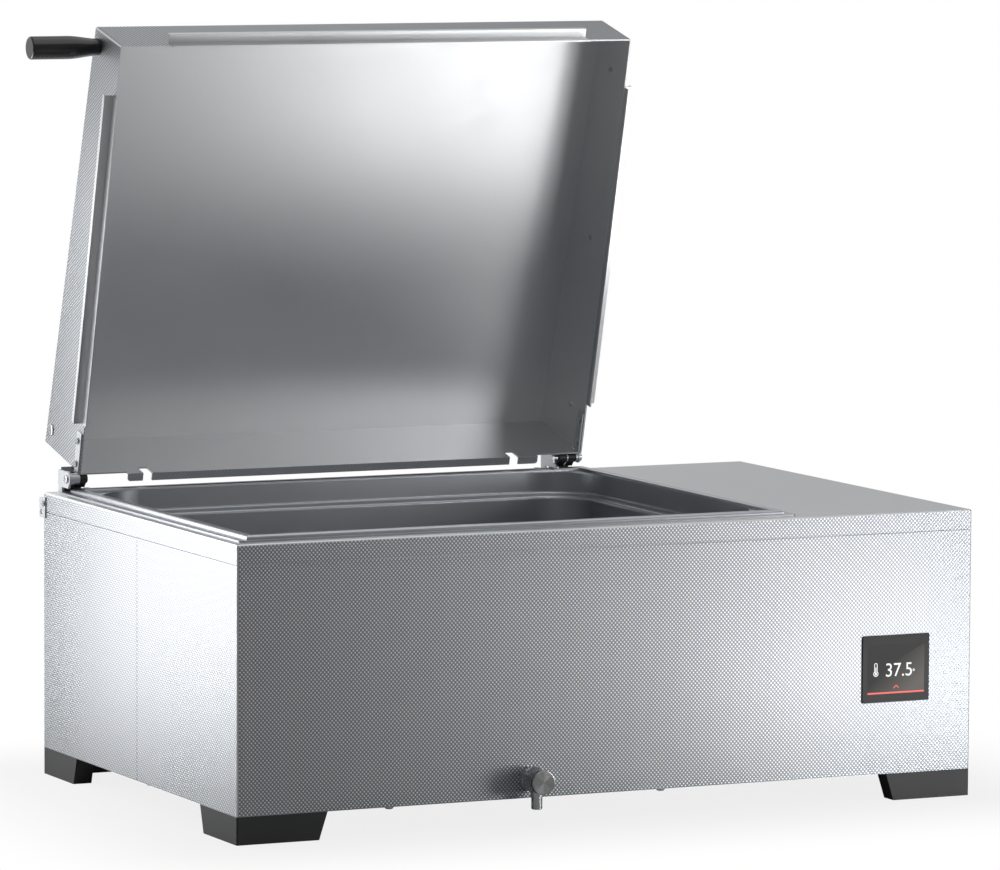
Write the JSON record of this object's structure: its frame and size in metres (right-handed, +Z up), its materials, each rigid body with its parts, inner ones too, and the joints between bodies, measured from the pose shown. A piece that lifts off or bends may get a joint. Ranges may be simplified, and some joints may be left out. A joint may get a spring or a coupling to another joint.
{
  "type": "laboratory water bath",
  "caption": "Bench water bath: stainless casing on corner feet, drawn trough with a stepped rim, hinged pitched lid with a side handle, front drain valve and touch display.",
  "frame": {"origin": "on the bench under the middle of the footprint of the four feet", "axes": "+Z up, +X to the right seen from the front, +Y to the rear, the front with the display and the valve faces -Y"},
  "size_m": [0.87, 0.6138, 0.783],
  "materials": {
    "textured_steel": "stainless sheet with a fine embossed dot pattern",
    "drawn_steel": "drawn stainless, satin",
    "plain_steel": "plain sheet",
    "bright_sheet": "bright stainless sheet",
    "turned_steel": "turned stainless",
    "black_plastic": "matt black",
    "gloss_black": "polished black",
    "black_glass": "black glass over a lit screen",
    "dark_plastic": "dark moulded plastic",
    "circuit_board": "coated board with parts",
    "silicone_rubber": "silicone rubber",
    "mineral_wool": "pressed wool board"
  },
  "bodies": {
    "base": {"front_casing": "textured_steel", "rear_casing": "textured_steel", "base_plate": "plain_steel", "top_deck": "textured_steel", "trough": "drawn_steel", "foot_front_left": "black_plastic", "foot_front_right": "black_plastic", "foot_rear_left": "black_plastic", "foot_rear_right": "black_plastic", "foot_screws": "turned_steel", "base_screws": "turned_steel", "hinge_bracket_left": "bright_sheet", "hinge_bracket_right": "bright_sheet", "hinge_block_left": "black_plastic", "hinge_block_right": "black_plastic", "hinge_pin_left": "turned_steel", "hinge_pin_right": "turned_steel", "hinge_bracket_screws": "turned_steel", "drain_collar": "turned_steel", "drain_valve_body": "turned_steel", "drain_spout": "turned_steel", "drain_lock_nut": "turned_steel", "trough_outlet": "drawn_steel", "drain_hose": "silicone_rubber", "hose_clips": "turned_steel", "display_glass": "black_glass", "display_housing": "dark_plastic", "control_board": "circuit_board", "divider_wall": "plain_steel", "board_standoffs": "turned_steel", "power_board": "circuit_board", "heater_floor": "silicone_rubber", "heater_left": "silicone_rubber", "heater_right": "silicone_rubber", "temperature_probes": "turned_steel", "limit_thermostat": "dark_plastic", "insulation_front": "mineral_wool", "insulation_rear": "mineral_wool", "insulation_left": "mineral_wool", "power_inlet": "dark_plastic", "power_switch_frame": "dark_plastic", "corner_clip_left": "bright_sheet", "corner_clip_right": "bright_sheet", "corner_clip_screws": "turned_steel"},
    "lid": {"lid_shell": "textured_steel", "lid_rail_left": "bright_sheet", "lid_rail_right": "bright_sheet", "lid_rail_front": "bright_sheet", "hinge_arm_left": "bright_sheet", "hinge_arm_right": "bright_sheet", "hinge_arm_screws": "turned_steel", "lid_rivets": "turned_steel", "lid_plug": "turned_steel", "handle_collar": "black_plastic", "handle_grip": "gloss_black", "handle_stud": "turned_steel"},
    "drain_knob": {"drain_knob": "turned_steel"},
    "power_switch": {"power_switch_rocker": "dark_plastic"}
  },
  "joints": [
    {"name": "lid_hinge", "type": "hinge", "parent": "base", "child": "lid", "pos_m": [0, 0.228, 0.3118], "axis": [1, 0, 0], "range_deg": [0, 75.8]},
    {"name": "drain_turn", "type": "hinge", "parent": "base", "child": "drain_knob", "pos_m": [-0.092, -0.258, 0.0475], "axis": [0, -1, 0], "range_deg": [0, 90]},
    {"name": "switch_rock", "type": "hinge", "parent": "base", "child": "power_switch", "pos_m": [0.339, 0.255, 0.116], "axis": [1, 0, 0], "range_deg": [0, 16]}
  ]
}
